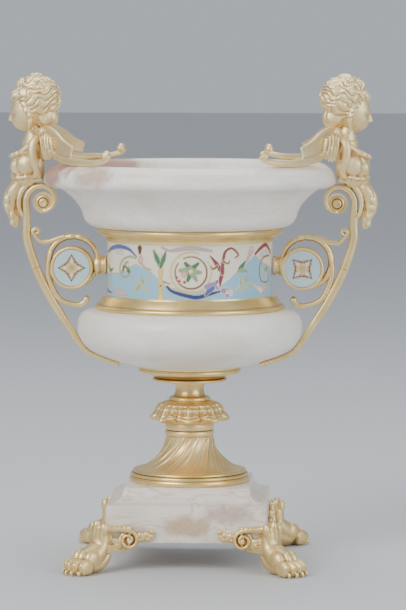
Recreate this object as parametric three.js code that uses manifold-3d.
// A mantel urn: an onyx bowl and bulb joined by an enamelled band, on a gilt stem and a square onyx
// plinth with four lion's paws. Two scroll handles each carry a winged bust that faces outwards.
// Millimetres, +Z up, origin on the floor under the middle of the urn. The handles lie along X.
import * as THREE from 'three';
import { mergeVertices } from 'three/addons/utils/BufferGeometryUtils.js';
import Module from 'manifold-3d';

const wasm = await Module();
wasm.setup();

// Fits
const castGap = 0.3; // between a casting and the piece it is fitted against
const cellGap = 0.15; // round an enamel disc in its cell

// Plinth
const plinthHalf = 61;
const plinthFloor = 21.5; // height of its underside above the floor
const plinthBlock = 28.1; // height of its upright faces
const plinthCove = 12; // height of the hollow moulding above them
const plinthTopHalf = 48;

// Stem, from the plinth up: the height and the widest radius of each piece
const socleHeight = 9.4;
const socleRadius = 46.8;
const trumpetHeight = 36.6;
const trumpetRadius = 40;
const stemRadius = 19;
const trumpetCollar = 10.8; // height of the plain rings at the trumpet's top
const ribCount = 10;
const ribRise = 1.5;
const ribTwist = 0.75; // radians that a rib leans round the trumpet
const collarHeight = 16.4;
const collarRadius = 29;
const leafCount = 8;
const leafRise = 1.9;
const leafDrop = 2.6;
const spoolHeight = 15.6;
const spoolRadius = 12.2;
const cupHeight = 11.4;
const cupRadius = 39.8;

// Vessel
const bulbHeight = 44.6;
const bulbRadius = 87.6;
const bulbShoulder = 75.5;
const onyxWall = 8.4;
const boreRadius = 62.5; // the hollow through the rings and the band
const lowerRingHeight = 10.6;
const lowerRingRadius = 74;
const bandHeight = 43.2;
const bandWall = 2.1;
const upperRingHeight = 9.9;
const upperRingRadius = 73;
const ringBead = 4;
const bowlHeight = 49.7;
const bowlWaist = 84;
const bowlFoot = 72.5;
const rimRadius = 114;
const rimDepth = 19.5;
const lipInset = 13; // from the rim's widest place in to the lip's inner edge

// Handles
const scrollRise = 11.8; // the scroll's middle below the rim's underside
const scrollOut = 0.6; // the scroll's middle outside the rim
const scrollRadius = 13.6;
const coilRadius = 5.8; // the scroll's radius once it has wound in
const coilTurn = 0.42; // how far round, in turns, it is half wound in
const scrollTurns = 0.75;
const barThick = 7.4;
const barThin = 3.2;
const barWide = 10;
const bossLength = 4.8;
const bossRadius = 8;
const ringRadius = 21.5;
const ringWall = 4.6;
const ringWide = 8;
const drumRadius = 16.7;
const drumDrop = 5.2; // the drum's middle below the ring's
const drumInset = 1.3; // and nearer the band
const drumLean = 2.1; // the left drum sits this much farther out, the right one farther in
const drumWide = 16;
const discRadius = 14.3;
const discThick = 1.4;
const discSunk = 0.4;
const curlRadius = 3.6;
const strapThick = 3.8;

// Figures
const saddleThick = 4.2;
const figureWide = 12.5; // half the width across the shoulders
const figureHead = 48; // from the chin to the top of the hair
const headTop = 72.5; // the top of the hair above the lip
const wingSpread = 0.96; // radians round the rim from the handle's line to a wing's tip
const wingThick = 5.4;
const wingCurl = 3.8;
const feathers = 3;
const wingTops = [27, 29, 23.5, 12.5, 6.8, 5.5]; // its top edge above the lip, from the shoulder to the tip

// Feet
const pawReach = 35; // how far a paw stands out past the plinth's faces
const pawHeight = 18;
const pawHalf = 11;
const toeCount = 4;
const ledgeDepth = 22;
const ledgeThick = 7;
const armScroll = 8.4;
const armInset = 17.5; // from the plinth's corner in to a scroll's middle
const armBud = 5;
const budInset = 34.5; // from the plinth's corner in to a bud's middle
const armStand = 5;
const crestHeight = 40;

// Smoothness
const turnSides = 24;
const smallSides = 16;
const discSides = 14;
const castSides = 5;

// Places that follow from the sizes
const lipRadius = rimRadius - lipInset;
const armAlong = plinthHalf - armInset;
const budAlong = plinthHalf - budInset;

// Heights where the pieces meet
const socleZ = plinthFloor + plinthBlock + plinthCove;
const trumpetZ = socleZ + socleHeight;
const collarZ = trumpetZ + trumpetHeight;
const spoolZ = collarZ + collarHeight;
const cupZ = spoolZ + spoolHeight;
const bulbZ = cupZ + cupHeight;
const lowerRingZ = bulbZ + bulbHeight;
const bandZ = lowerRingZ + lowerRingHeight;
const upperRingZ = bandZ + bandHeight;
const bowlZ = upperRingZ + upperRingHeight;
const lipZ = bowlZ + bowlHeight;
const rimZ = lipZ - rimDepth;
const bandRadius = boreRadius + bandWall;
const bulbEquator = bulbZ + 0.67 * bulbHeight;

const upright = new THREE.Vector3(0, 0, 1);
const sideways = new THREE.Vector3(0, 1, 0);

// A geometry with shared corners, no collapsed faces, and its faces pointing out
function weld(geometry) {
  geometry.deleteAttribute('normal');
  geometry.deleteAttribute('uv');
  const merged = mergeVertices(geometry, 1e-4);
  const source = merged.index.array;
  const faces = [];
  for (let i = 0; i < source.length; i += 3) {
    const [a, b, c] = [source[i], source[i + 1], source[i + 2]];
    if (a !== b && b !== c && a !== c) {
      faces.push(a, b, c);
    }
  }
  const corner = new THREE.Vector3();
  const second = new THREE.Vector3();
  const third = new THREE.Vector3();
  const position = merged.attributes.position;
  let volume = 0;
  for (let i = 0; i < faces.length; i += 3) {
    corner.fromBufferAttribute(position, faces[i]);
    second.fromBufferAttribute(position, faces[i + 1]);
    third.fromBufferAttribute(position, faces[i + 2]);
    volume += corner.dot(second.cross(third));
  }
  if (volume < 0) {
    faces.reverse();
  }
  merged.setIndex(faces);
  return merged;
}

function solid(geometry) {
  const merged = weld(geometry);
  const vertProperties = new Float32Array(merged.attributes.position.array);
  const triVerts = new Uint32Array(merged.index.array);
  return new wasm.Manifold(new wasm.Mesh({ numProp: 3, vertProperties, triVerts }));
}

function joined(solids) {
  return solids.reduce((whole, piece) => whole.add(piece));
}

function geometryOf(body) {
  const { vertProperties, triVerts } = body.simplify(castGap / 10).getMesh();
  const geometry = new THREE.BufferGeometry();
  geometry.setAttribute('position', new THREE.BufferAttribute(new Float32Array(vertProperties), 3));
  geometry.setIndex(new THREE.BufferAttribute(new Uint32Array(triVerts), 1));
  return geometry;
}

// A turned piece from its outline, given as radius and height
function turned(outline, sides, steps) {
  return solid(new THREE.LatheGeometry(outline.getPoints(steps), sides).rotateX(Math.PI / 2));
}

// A closed body over a row of rings with equally many corners, capped at both ends
function skin(rings) {
  const around = rings[0].length;
  const corners = rings.flat();
  const faces = [];
  for (let k = 0; k + 1 < rings.length; k += 1) {
    for (let i = 0; i < around; i += 1) {
      const a = k * around + i;
      const b = k * around + ((i + 1) % around);
      faces.push(a, b, b + around, a, b + around, a + around);
    }
  }
  for (const [ring, flip] of [[0, true], [rings.length - 1, false]]) {
    const middle = new THREE.Vector3();
    rings[ring].forEach((corner) => middle.addScaledVector(corner, 1 / around));
    corners.push(middle);
    for (let i = 0; i < around; i += 1) {
      const a = ring * around + i;
      const b = ring * around + ((i + 1) % around);
      faces.push(corners.length - 1, flip ? b : a, flip ? a : b);
    }
  }
  const geometry = new THREE.BufferGeometry().setFromPoints(corners);
  geometry.setIndex(faces);
  return solid(geometry);
}

// A ring of corners round a middle, spanned by two directions, a little squarer than an ellipse
function oval(middle, across, along, halfAcross, halfAlong, sides, squareness = 1) {
  const ring = [];
  for (let i = 0; i < sides; i += 1) {
    const angle = (2 * Math.PI * (i + 0.5)) / sides;
    const c = Math.sign(Math.cos(angle)) * Math.abs(Math.cos(angle)) ** squareness;
    const s = Math.sign(Math.sin(angle)) * Math.abs(Math.sin(angle)) ** squareness;
    ring.push(middle.clone().addScaledVector(across, halfAcross * c).addScaledVector(along, halfAlong * s));
  }
  return ring;
}

// A cast bar in the plane of the handles: half its thickness and half its width come from functions
// of the share of the way along it
function bar(points, halfThick, halfWide, sides, squareness = 0.75) {
  const rings = points.map((point, i) => {
    const before = points[Math.max(0, i - 1)];
    const after = points[Math.min(points.length - 1, i + 1)];
    const run = new THREE.Vector3(after.x - before.x, 0, after.y - before.y).normalize();
    const across = new THREE.Vector3().crossVectors(sideways, run);
    const share = i / (points.length - 1);
    const middle = new THREE.Vector3(point.x, 0, point.y);
    return oval(middle, across, sideways, halfThick(share), halfWide(share), sides, squareness);
  });
  return skin(rings);
}

function ball(x, y, z, halfX, halfY, halfZ, sides) {
  const sphere = new THREE.SphereGeometry(1, sides, Math.round(sides * 0.6));
  return solid(sphere.scale(halfX, halfY, halfZ).translate(x, y, z));
}

// A round plate that lies across the handles' plane
function plate(x, y, z, radius, thick, sides) {
  return solid(new THREE.CylinderGeometry(radius, radius, thick, sides).translate(x, y, z));
}

function block(x, y, z, sizeX, sizeY, sizeZ) {
  return solid(new THREE.BoxGeometry(sizeX, sizeY, sizeZ).translate(x, y, z));
}

function mix(from, to, share) {
  return from + (to - from) * share;
}

// The plinth, grown on every side but its top by the fit asked for
function plinthBody(grow) {
  const square = (half, z) => [[1, 1], [-1, 1], [-1, -1], [1, -1]].map(
    ([x, y]) => new THREE.Vector3(x * half, y * half, z),
  );
  const rings = [
    square(plinthHalf + grow, plinthFloor - grow),
    square(plinthHalf + grow, plinthFloor + plinthBlock),
  ];
  const steps = 6;
  for (let i = 1; i <= steps; i += 1) {
    const angle = (Math.PI / 2) * (i / steps);
    const half = plinthHalf - (plinthHalf - plinthTopHalf) * Math.sin(angle);
    rings.push(square(half + grow, plinthFloor + plinthBlock + plinthCove * (1 - Math.cos(angle))));
  }
  return skin(rings);
}

function socleRing() {
  const rounds = [[4.4, 0], [2.6, 0.8], [2.4, 2.4]];
  const outline = new THREE.Path().moveTo(0, socleZ);
  let z = socleZ;
  for (const [height, inset] of rounds) {
    const radius = socleRadius - inset;
    outline.lineTo(radius - 0.8, z).lineTo(radius, z + height / 2).lineTo(radius - 0.8, z + height);
    z += height;
  }
  outline.lineTo(trumpetRadius, trumpetZ).lineTo(0, trumpetZ);
  return turned(outline, smallSides, 1);
}

// Narrow ribs alternate with narrower ones, and lean round the trumpet as they rise
function spiralFoot() {
  const samples = 4 * ribCount;
  const heights = [1, 0, 0.5, 0];
  const topZ = trumpetZ + trumpetHeight;
  const flareTop = topZ - trumpetCollar;
  const rings = [];
  const ringAt = (radius, z, rise, turn) => {
    const ring = [];
    for (let i = 0; i < samples; i += 1) {
      const angle = (2 * Math.PI * i) / samples + turn;
      const out = radius + rise * heights[i % 4];
      ring.push(new THREE.Vector3(out * Math.cos(angle), out * Math.sin(angle), z));
    }
    return ring;
  };
  const levels = 4;
  for (let i = 0; i <= levels; i += 1) {
    const share = i / levels;
    const radius = stemRadius + (trumpetRadius - stemRadius) * (1 - share) ** 2.1;
    const rise = ribRise * Math.sin(Math.PI * Math.min(1, share * 0.9 + 0.1));
    rings.push(ringAt(radius, mix(trumpetZ, flareTop, share ** 1.15), rise, ribTwist * share));
  }
  const groove = trumpetCollar * 0.42;
  rings.push(ringAt(stemRadius - 0.8, flareTop + groove, 0, ribTwist));
  rings.push(ringAt(stemRadius, topZ, 0, ribTwist));
  return skin(rings);
}

// Eight leaves turn down over the collar, each a swell that ends in a hanging tip
function acanthusCollar() {
  const samples = 4 * leafCount;
  const levels = [
    [stemRadius, 0, 0, 0],
    [collarRadius - 4, 0.13, 0.3, 0.2],
    [collarRadius, 0.26, 1, 1],
    [collarRadius - 2, 0.55, 0.7, 0.2],
    [spoolRadius + 9, 0.86, 0.3, 0],
    [spoolRadius + 4.5, 1, 0, 0],
  ];
  return skin(levels.map(([radius, share, swell, drop]) => {
    const ring = [];
    for (let i = 0; i < samples; i += 1) {
      const angle = (2 * Math.PI * i) / samples;
      const wave = Math.abs(Math.cos((angle * leafCount) / 2)) ** 0.8;
      const out = radius + leafRise * swell * (wave - 0.4);
      const z = collarZ + collarHeight * share - leafDrop * drop * (wave - 0.5);
      ring.push(new THREE.Vector3(out * Math.cos(angle), out * Math.sin(angle), Math.max(z, collarZ)));
    }
    return ring;
  }));
}

function neckSpool() {
  const moulding = 3.2;
  const outline = new THREE.Path().moveTo(0, spoolZ).lineTo(spoolRadius + 4, spoolZ);
  outline.quadraticCurveTo(spoolRadius + 5, spoolZ + moulding / 2, spoolRadius + 4, spoolZ + moulding);
  outline.lineTo(spoolRadius, spoolZ + moulding);
  outline.quadraticCurveTo(spoolRadius - 3, spoolZ + spoolHeight * 0.6, spoolRadius, cupZ);
  outline.lineTo(0, cupZ);
  return turned(outline, discSides, 2);
}

function bowlCup() {
  const bead = 1.9;
  const face = 4.5;
  const outline = new THREE.Path().moveTo(0, cupZ).lineTo(spoolRadius + 16, cupZ);
  outline.quadraticCurveTo(spoolRadius + 18, cupZ + bead / 2, spoolRadius + 16, cupZ + bead);
  outline.quadraticCurveTo(spoolRadius + 17, bulbZ - face - 1, cupRadius - 1, bulbZ - face);
  outline.lineTo(cupRadius, bulbZ).lineTo(0, bulbZ);
  return turned(outline, smallSides, 2);
}

// The bulb's outline under its shoulder, shared with the handles that run beneath it
const bulbBelly = {
  foot: new THREE.Vector2(cupRadius - castGap, bulbZ),
  pull: new THREE.Vector2(bulbRadius * 0.78, bulbZ + 0.143 * bulbHeight),
  turn: new THREE.Vector2(bulbRadius * 0.906, bulbZ + 0.313 * bulbHeight),
};

function lowerBowl() {
  const { foot, pull, turn } = bulbBelly;
  const inner = bulbRadius - onyxWall;
  const floorZ = bulbZ + onyxWall + 1.1;
  const outline = new THREE.Path().moveTo(0, bulbZ).lineTo(foot.x, foot.y);
  outline.quadraticCurveTo(pull.x, pull.y, turn.x, turn.y);
  outline.quadraticCurveTo(bulbRadius - 0.7, bulbZ + 0.45 * bulbHeight, bulbRadius, bulbEquator);
  outline.quadraticCurveTo(bulbRadius, lowerRingZ - 1, bulbShoulder, lowerRingZ);
  outline.lineTo(boreRadius, lowerRingZ);
  outline.quadraticCurveTo(inner, lowerRingZ - 3, inner, bulbEquator);
  outline.quadraticCurveTo(inner - 2, floorZ + 4, foot.x + 4, floorZ);
  outline.lineTo(0, floorZ);
  return turned(outline, turnSides, 2);
}

function lowerRing() {
  const top = bandZ;
  const outline = new THREE.Path().moveTo(boreRadius, lowerRingZ).lineTo(lowerRingRadius - 1, lowerRingZ);
  const beadZ = lowerRingZ + ringBead;
  outline.quadraticCurveTo(lowerRingRadius + 1, lowerRingZ + ringBead / 2, lowerRingRadius - 1, beadZ);
  outline.quadraticCurveTo(bandRadius + 4, top - 2.5, bandRadius + 2.6, top);
  outline.lineTo(boreRadius, top).lineTo(boreRadius, lowerRingZ);
  return turned(outline, turnSides, 2);
}

function enamelBand() {
  const outline = new THREE.Path().moveTo(boreRadius, bandZ).lineTo(bandRadius, bandZ);
  outline.lineTo(bandRadius, upperRingZ).lineTo(boreRadius, upperRingZ).lineTo(boreRadius, bandZ);
  return turned(outline, turnSides, 1);
}

function upperRing() {
  const bead = bowlZ - ringBead;
  const outline = new THREE.Path().moveTo(boreRadius, upperRingZ).lineTo(bandRadius + 1.2, upperRingZ);
  outline.quadraticCurveTo(bandRadius + 2, bead - 1.5, upperRingRadius - 1.5, bead);
  outline.quadraticCurveTo(upperRingRadius + 1.5, bead + ringBead / 2, upperRingRadius - 1.5, bowlZ);
  outline.lineTo(boreRadius, bowlZ).lineTo(boreRadius, upperRingZ);
  return turned(outline, turnSides, 2);
}

// The rim's outer outline, grown by the fit of what is cut to lie against it
function rimOutline(outline, grow) {
  outline.lineTo(rimRadius - 6 + grow, rimZ + 1 - grow);
  outline.quadraticCurveTo(rimRadius + 2 + grow, rimZ + 3, rimRadius - 0.8 + grow, rimZ + 9.5);
  outline.quadraticCurveTo(rimRadius - 2.5 + grow, lipZ - 4.5, rimRadius - 6 + grow, lipZ - 3 + grow);
  outline.quadraticCurveTo(lipRadius + 3, lipZ + 0.4 + grow, lipRadius, lipZ + grow);
}

function upperBowl() {
  const waistZ = bowlZ + 11.5;
  const outline = new THREE.Path().moveTo(boreRadius, bowlZ).lineTo(bowlFoot, bowlZ);
  outline.quadraticCurveTo(bowlWaist - 1.5, bowlZ + 1.5, bowlWaist, waistZ);
  outline.quadraticCurveTo(bowlWaist + 4, rimZ - 8.5, lipRadius, rimZ);
  rimOutline(outline, 0);
  outline.quadraticCurveTo(lipRadius - 5, lipZ - 2, lipRadius - 7, lipZ - 9);
  outline.quadraticCurveTo(bowlWaist + 2, rimZ - 4.5, bowlWaist - onyxWall, waistZ + 4);
  outline.lineTo(boreRadius, bowlZ);
  return turned(outline, turnSides, 2);
}

// What the castings on the rim are cut with, so that they lie close against it
function rimSeat() {
  const inner = lipRadius - 12;
  const outline = new THREE.Path().moveTo(inner, rimZ - castGap).lineTo(lipRadius, rimZ - castGap);
  rimOutline(outline, castGap);
  outline.lineTo(inner, lipZ + castGap).lineTo(inner, rimZ - castGap);
  return turned(outline, turnSides, 2);
}

// The handle on the +X side: places in its plane as distance out and height
const scrollMiddle = new THREE.Vector2(rimRadius + scrollOut, rimZ - scrollRise);
const ringMiddle = new THREE.Vector2(
  bandRadius + castGap + bossLength + ringRadius,
  bandZ + 0.605 * bandHeight,
);
const drumPlace = {
  left: ringMiddle.clone().add(new THREE.Vector2(drumLean - drumInset, -drumDrop)),
  right: ringMiddle.clone().add(new THREE.Vector2(-drumLean - drumInset, -drumDrop)),
};

function scrollPoint(turn, outside = 0) {
  const angle = 2 * Math.PI * turn;
  const wound = 1 / (1 + (turn / coilTurn) ** 4);
  const radius = coilRadius + (scrollRadius - coilRadius) * wound + outside;
  return new THREE.Vector2(
    scrollMiddle.x + radius * Math.cos(angle),
    scrollMiddle.y + radius * Math.sin(angle),
  );
}

// A place under the bulb, a distance off its surface
function underBulb(share, off) {
  const { foot, pull, turn } = bulbBelly;
  const curve = new THREE.QuadraticBezierCurve(foot, pull, turn);
  const point = curve.getPoint(share);
  const run = curve.getTangent(share);
  return point.add(new THREE.Vector2(run.y, -run.x).multiplyScalar(off));
}

function barPoints() {
  const scroll = [];
  const stepsPerTurn = 8;
  for (let step = scrollTurns * stepsPerTurn; step > 0; step -= 1) {
    scroll.push(scrollPoint(step / stepsPerTurn));
  }
  const rest = barThin / 2 + castGap + 0.5;
  const arm = new THREE.SplineCurve([
    scrollPoint(0),
    new THREE.Vector2(ringMiddle.x + ringRadius + 14.9, ringMiddle.y + 28.5),
    new THREE.Vector2(ringMiddle.x + ringRadius + 14.6, ringMiddle.y + 17),
    new THREE.Vector2(ringMiddle.x + ringRadius + 7.2, ringMiddle.y - 6.5),
    new THREE.Vector2(ringMiddle.x + ringRadius - 4.5, ringMiddle.y - 29.9),
    new THREE.Vector2(bulbRadius + 5.4, bulbEquator - 2.2),
    new THREE.Vector2(bulbRadius + 0.8, bulbEquator - 9.4),
    underBulb(1.0, rest + 0.4),
    underBulb(0.6, rest + 0.4),
    underBulb(0.25, rest + 0.2),
  ]);
  return [...scroll, ...arm.getSpacedPoints(14)];
}

// A small scroll that opens clockwise and ends at an angle
function curl(middle, radius, end, turns) {
  const points = [];
  const steps = Math.ceil(turns * 6);
  for (let i = 0; i <= steps; i += 1) {
    const angle = end + 2 * Math.PI * turns * (1 - i / steps);
    const reach = mix(radius * 0.3, radius, i / steps);
    points.push(new THREE.Vector2(middle.x + reach * Math.cos(angle), middle.y + reach * Math.sin(angle)));
  }
  return points;
}

// The strap that springs from a scroll inside the bar and runs onto the roundel's ring
function upperStrapPoints() {
  const curlMiddle = new THREE.Vector2(ringMiddle.x + ringRadius + 7.2, ringMiddle.y + 22.9);
  const stops = [
    ...curl(curlMiddle, curlRadius, -0.3, 1),
    new THREE.Vector2(ringMiddle.x + ringRadius + 4.3, ringMiddle.y + 15.2),
    new THREE.Vector2(ringMiddle.x + ringRadius - 2.7, ringMiddle.y + 14.9),
    new THREE.Vector2(ringMiddle.x + ringRadius - 10, ringMiddle.y + 17.4),
    new THREE.Vector2(ringMiddle.x + 5, ringMiddle.y + ringRadius - 2),
  ];
  return new THREE.SplineCurve(stops).getPoints(stops.length + 1);
}

// The strap that leaves the ring, bears on the bar and hooks back under the roundel
function lowerStrapPoints() {
  return new THREE.SplineCurve([
    new THREE.Vector2(ringMiddle.x + 17, ringMiddle.y + 9),
    new THREE.Vector2(ringMiddle.x + ringRadius - 1.8, ringMiddle.y - 3),
    new THREE.Vector2(ringMiddle.x + ringRadius - 2.8, ringMiddle.y - 14.3),
    new THREE.Vector2(ringMiddle.x + 11.1, ringMiddle.y - 29.4),
    new THREE.Vector2(ringMiddle.x - 2.6, ringMiddle.y - 34.4),
    new THREE.Vector2(ringMiddle.x - 9.3, ringMiddle.y - 32),
    new THREE.Vector2(ringMiddle.x - 10.9, ringMiddle.y - 27),
  ]).getPoints(9);
}

// The main bar swells out of its scroll and thins towards the cup
function mainBar(grow) {
  const swell = 0.45;
  const thick = (share) => (share < swell
    ? mix(barThin * 0.8, barThick, share / swell)
    : mix(barThick, barThin, (share - swell) / (1 - swell)));
  const wide = (share) => mix(barWide, barWide * 0.8, share) * 0.62 + grow;
  return bar(barPoints(), (share) => thick(share) * 0.62 + grow, wide, 4).subtract(rimSeat());
}

function handle(drumMiddle) {
  const half = (a, b) => (share) => mix(a, b, share) / 2;
  const main = mainBar(0);
  const web = plate(scrollMiddle.x, 0, scrollMiddle.y, coilRadius + 0.4, barWide - 1.4, 10);
  const eye = plate(scrollMiddle.x, 0, scrollMiddle.y, coilRadius * 0.6, barWide + 0.6, 6);
  const ring = plate(ringMiddle.x, 0, ringMiddle.y, ringRadius, ringWide, smallSides)
    .subtract(plate(ringMiddle.x, 0, ringMiddle.y, ringRadius - ringWall, ringWide + 2, smallSides));
  const drum = plate(drumMiddle.x, 0, drumMiddle.y, drumRadius, drumWide, discSides);
  const bossStart = bandRadius + castGap;
  const boss = solid(new THREE.CylinderGeometry(bossRadius, bossRadius, bossLength + ringWall, 8)
    .rotateZ(Math.PI / 2).translate(bossStart + (bossLength + ringWall) / 2, 0, ringMiddle.y - 3));
  const upperStrap = bar(upperStrapPoints(), half(strapThick * 0.8, strapThick * 1.3), half(9, 9), 4);
  const lowerStrap = bar(lowerStrapPoints(), half(strapThick * 1.2, strapThick), half(9, 8), 4);
  const cellDepth = discThick + discSunk;
  const cells = [-1, 1].map((side) => plate(
    drumMiddle.x,
    side * (drumWide / 2 - cellDepth / 2 + 0.5),
    drumMiddle.y,
    discRadius + cellGap,
    cellDepth + 1,
    discSides,
  ));
  const body = joined([main, web, eye, ring, drum, boss, upperStrap, lowerStrap]);
  return body.subtract(joined(cells));
}

function enamelDisc(side, drumMiddle) {
  const y = side * (drumWide / 2 - discSunk - discThick / 2 + castGap / 2);
  return plate(drumMiddle.x, y, drumMiddle.y, discRadius, discThick - castGap, discSides);
}

// One wing lies round the rim and rests on its lip, its feathers as ridges, its tip curled up
function wing(side) {
  const stations = 5;
  const rings = [];
  const middleRadius = lipRadius + wingThick / 2 + 1;
  for (let k = 0; k <= stations; k += 1) {
    const share = k / stations;
    const angle = side * mix(0.06, wingSpread, share);
    const radius = middleRadius + 11 * (1 - share) ** 2;
    const bottom = lipZ + mix(4, castGap, Math.min(1, 2 * share));
    const top = lipZ + wingTops[k];
    const half = (wingThick / 2) * mix(1, 0.6, share);
    const out = new THREE.Vector3(Math.cos(angle), Math.sin(angle), 0);
    const ring = [];
    const edge = (depth, height) => {
      const place = out.clone().multiplyScalar(radius + depth);
      ring.push(place.addScaledVector(upright, mix(bottom, top, height)));
    };
    for (let i = 0; i <= 2 * feathers; i += 1) {
      edge(half * (i % 2 ? 1 : 0.35), i / (2 * feathers));
    }
    edge(-half, 0.75);
    edge(-half, 0.25);
    rings.push(ring);
  }
  const tip = side * (wingSpread + 0.01);
  const disc = new THREE.CylinderGeometry(wingCurl, wingCurl, wingThick * 0.6, 6).rotateZ(Math.PI / 2);
  disc.translate(middleRadius, 0, lipZ + wingCurl + 4.5).rotateZ(tip);
  return skin(rings).add(solid(disc));
}

// The bust on the +X side. Its head and body are shares of figureHead, measured from the hair's top.
function figure() {
  const size = figureHead;
  const topZ = lipZ + headTop;
  const at = (share) => topZ - size * share;
  const x = rimRadius + 12.5;
  const level = (share, middle, halfX, halfY) => oval(
    new THREE.Vector3(middle, 0, at(share)),
    new THREE.Vector3(1, 0, 0),
    sideways,
    halfX,
    halfY,
    6,
    0.9,
  );
  const body = skin([
    level(1.95, x + 3, 9, 6.5),
    level(1.6, x + 2, 13, figureWide - 1.5),
    level(1.45, x + 1, 13.2, figureWide),
    level(1.31, x - 2, 11.5, figureWide + 0.5),
    level(1.2, x - 4.2, 8.6, 8.5),
    level(1.1, x - 4.8, 7.4, 7),
    level(0.9, x - 3.2, 7.2, 6.8),
    level(0.75, x - 3, 7.5, 7),
  ]);
  const head = ball(x + 1, 0, at(0.6), size * 0.27, size * 0.235, size * 0.38, 7);
  const nose = ball(x + size * 0.29, 0, at(0.66), size * 0.055, size * 0.04, size * 0.1, castSides);
  const hair = ball(x - 7, 0, at(0.41), size * 0.39, size * 0.34, size * 0.405, 9);
  const knot = ball(x - 21.5, 0, at(0.55), size * 0.125, size * 0.16, size * 0.16, castSides);
  const parts = [body, head, nose, hair, knot];
  for (const side of [1, -1]) {
    parts.push(ball(x + 0.5, side * (figureWide + 1), at(1.47), 6.6, 5.5, 8, castSides));
    parts.push(ball(x + 9.5, side * 5.4, at(1.5), 6.2, 5, 5.6, castSides));
  }
  const saddle = [];
  for (let i = 0; i <= 5; i += 1) {
    saddle.push(scrollPoint(mix(-0.1, 0.25, i / 5), barThick / 2 + saddleThick / 2 - 0.4));
  }
  parts.push(bar(saddle, () => saddleThick * 0.7, () => barWide * 0.8, 4).subtract(rimSeat()));
  const leaf = new THREE.SplineCurve([
    new THREE.Vector2(x + 6.5, rimZ + 4),
    new THREE.Vector2(x + 14, rimZ - 8.5),
    new THREE.Vector2(x + 14, rimZ - 16.5),
    new THREE.Vector2(x + 11, rimZ - 23),
    new THREE.Vector2(x + 10.3, rimZ - 28.5),
    new THREE.Vector2(x + 8, rimZ - 32),
  ]).getPoints(6);
  const leafThick = (share) => mix(5.8, 2.6, share) * (1 + 0.12 * Math.cos(share * 3.2 * Math.PI));
  parts.push(bar(leaf, leafThick, (share) => mix(8.5, 3, share * share), 5, 1));
  return joined(parts).subtract(mainBar(castGap)).add(wing(1)).add(wing(-1));
}

// The foot at the corner between the +X and +Y faces
function foot() {
  const corner = plinthHalf * Math.SQRT2;
  const tip = (plinthHalf + pawReach) * Math.SQRT2 - pawHalf;
  const parts = [];
  const leg = new THREE.SplineCurve([
    new THREE.Vector2(tip - 6, pawHeight * 0.36),
    new THREE.Vector2(tip - 18, pawHeight * 0.52),
    new THREE.Vector2(corner + 6, pawHeight * 0.95),
    new THREE.Vector2(corner + 4.5, crestHeight - 12),
    new THREE.Vector2(corner + 8.5, crestHeight),
  ]).getPoints(5);
  const legThick = [4.5, 8.8, 8.6, 7.6, 6, 2];
  const legWide = [pawHalf - 1, pawHalf + 0.5, pawHalf - 1, pawHalf - 1.5, pawHalf - 3.5, 3];
  const along = (sizes) => (share) => sizes[Math.round(share * (sizes.length - 1))];
  parts.push(bar(leg, along(legThick), along(legWide), 6, 1));
  // Flat pads under the toes bear on the floor
  const toe = bar(
    [
      new THREE.Vector2(tip - 14, pawHeight * 0.38),
      new THREE.Vector2(tip - 6.5, pawHeight * 0.28),
      new THREE.Vector2(tip - 1, pawHeight * 0.22),
    ],
    along([4.5, pawHeight * 0.45, 4]),
    along([3, 3.7, 2.4]),
    6,
    1,
  );
  for (let i = 0; i < toeCount; i += 1) {
    const share = i / (toeCount - 1) - 0.5;
    parts.push(toe.translate([-9 * share * share, share * 1.5 * pawHalf, 0]));
  }
  const ledgeZ = plinthFloor - castGap - ledgeThick / 2;
  parts.push(block(corner - ledgeDepth / 2 + 8, 0, ledgeZ, ledgeDepth, 2 * pawHalf - 4, ledgeThick));
  const floorCut = block(0, 0, -10, 400, 400, 20);
  const legBody = joined(parts).subtract(floorCut).rotate([0, 0, 45]).subtract(plinthBody(castGap));
  return joined([legBody, footArm(false), footArm(true)]);
}

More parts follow.
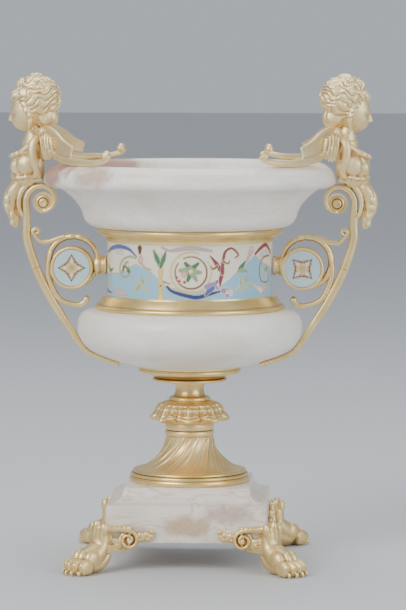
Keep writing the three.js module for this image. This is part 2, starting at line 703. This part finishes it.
// A scrolled arm along one face: swap lays it along the other face of the corner
function footArm(swap) {
  const front = plinthHalf + castGap;
  const place = (along, out, z) => (swap
    ? new THREE.Vector3(along, front + out, z)
    : new THREE.Vector3(front + out, along, z));
  const scrollZ = plinthFloor + 2.6;
  const disc = (along, z, radius, thick, sides) => {
    const rings = [0, thick].map((out) => {
      const ring = [];
      for (let i = 0; i < sides; i += 1) {
        const angle = (2 * Math.PI * i) / sides;
        ring.push(place(along + radius * Math.cos(angle), out, z + radius * Math.sin(angle)));
      }
      return ring;
    });
    return skin(rings);
  };
  const route = new THREE.SplineCurve([
    new THREE.Vector2(plinthHalf + 4, scrollZ + armScroll + 1),
    new THREE.Vector2(armAlong + 9, scrollZ + 4),
    new THREE.Vector2(armAlong + 1, scrollZ + armScroll - 1.5),
    new THREE.Vector2(armAlong - 9, scrollZ + 5),
    new THREE.Vector2(budAlong, scrollZ + 4.4),
  ]).getPoints(4);
  const rings = route.map((point, i) => {
    const before = route[Math.max(0, i - 1)];
    const after = route[Math.min(route.length - 1, i + 1)];
    const run = after.clone().sub(before).normalize();
    const half = mix(4.6, 2.2, i / (route.length - 1));
    const ring = [];
    for (const [across, out] of [[-1, 0], [1, 0], [0.7, 1], [-0.7, 1]]) {
      ring.push(place(point.x - run.y * half * across, out * armStand, point.y + run.x * half * across));
    }
    return ring;
  });
  return skin(rings)
    .add(disc(armAlong, scrollZ, armScroll, armStand, 8))
    .add(disc(budAlong, scrollZ + 4.4, armBud, armStand - 1, 5));
}

const finishes = {
  onyx: { color: 0xe9e3d6, roughness: 0.35, metalness: 0 },
  plinthOnyx: { color: 0xd9cdbd, roughness: 0.35, metalness: 0 },
  gilt: { color: 0xc99f4e, roughness: 0.35, metalness: 1 },
  paleGilt: { color: 0xd8b86a, roughness: 0.5, metalness: 1 },
  bandEnamel: { color: 0x9cc4cf, roughness: 0.25, metalness: 0 },
  discEnamel: { color: 0xa9cfd4, roughness: 0.25, metalness: 0 },
};

const urn = new THREE.Group();

function add(name, body, finish, quarterTurns = 0) {
  const mesh = new THREE.Mesh(geometryOf(body), new THREE.MeshStandardMaterial(finishes[finish]));
  mesh.name = name;
  mesh.rotation.z = (Math.PI / 2) * quarterTurns;
  urn.add(mesh);
}

const footBody = foot();
['foot_back_right', 'foot_back_left', 'foot_front_left', 'foot_front_right'].forEach((name, turns) => {
  add(name, footBody, 'gilt', turns);
});
add('plinth', plinthBody(0), 'plinthOnyx');
add('socle_ring', socleRing(), 'gilt');
add('spiral_foot', spiralFoot(), 'gilt');
add('acanthus_collar', acanthusCollar(), 'gilt');
add('neck_spool', neckSpool(), 'gilt');
add('bowl_cup', bowlCup(), 'gilt');
add('lower_bowl', lowerBowl(), 'onyx');
add('lower_ring', lowerRing(), 'gilt');
add('enamel_band', enamelBand(), 'bandEnamel');
add('upper_ring', upperRing(), 'gilt');
add('upper_bowl', upperBowl(), 'onyx');

const figureBody = figure();
for (const [hand, turns] of [['right', 0], ['left', 2]]) {
  add(`handle_${hand}`, handle(drumPlace[hand]), 'gilt', turns);
  add(`figure_${hand}`, figureBody, 'paleGilt', turns);
  // A half turn swaps front and back
  const frontSide = hand === 'right' ? -1 : 1;
  add(`roundel_${hand}_front`, enamelDisc(frontSide, drumPlace[hand]), 'discEnamel', turns);
  add(`roundel_${hand}_back`, enamelDisc(-frontSide, drumPlace[hand]), 'discEnamel', turns);
}

export default urn;
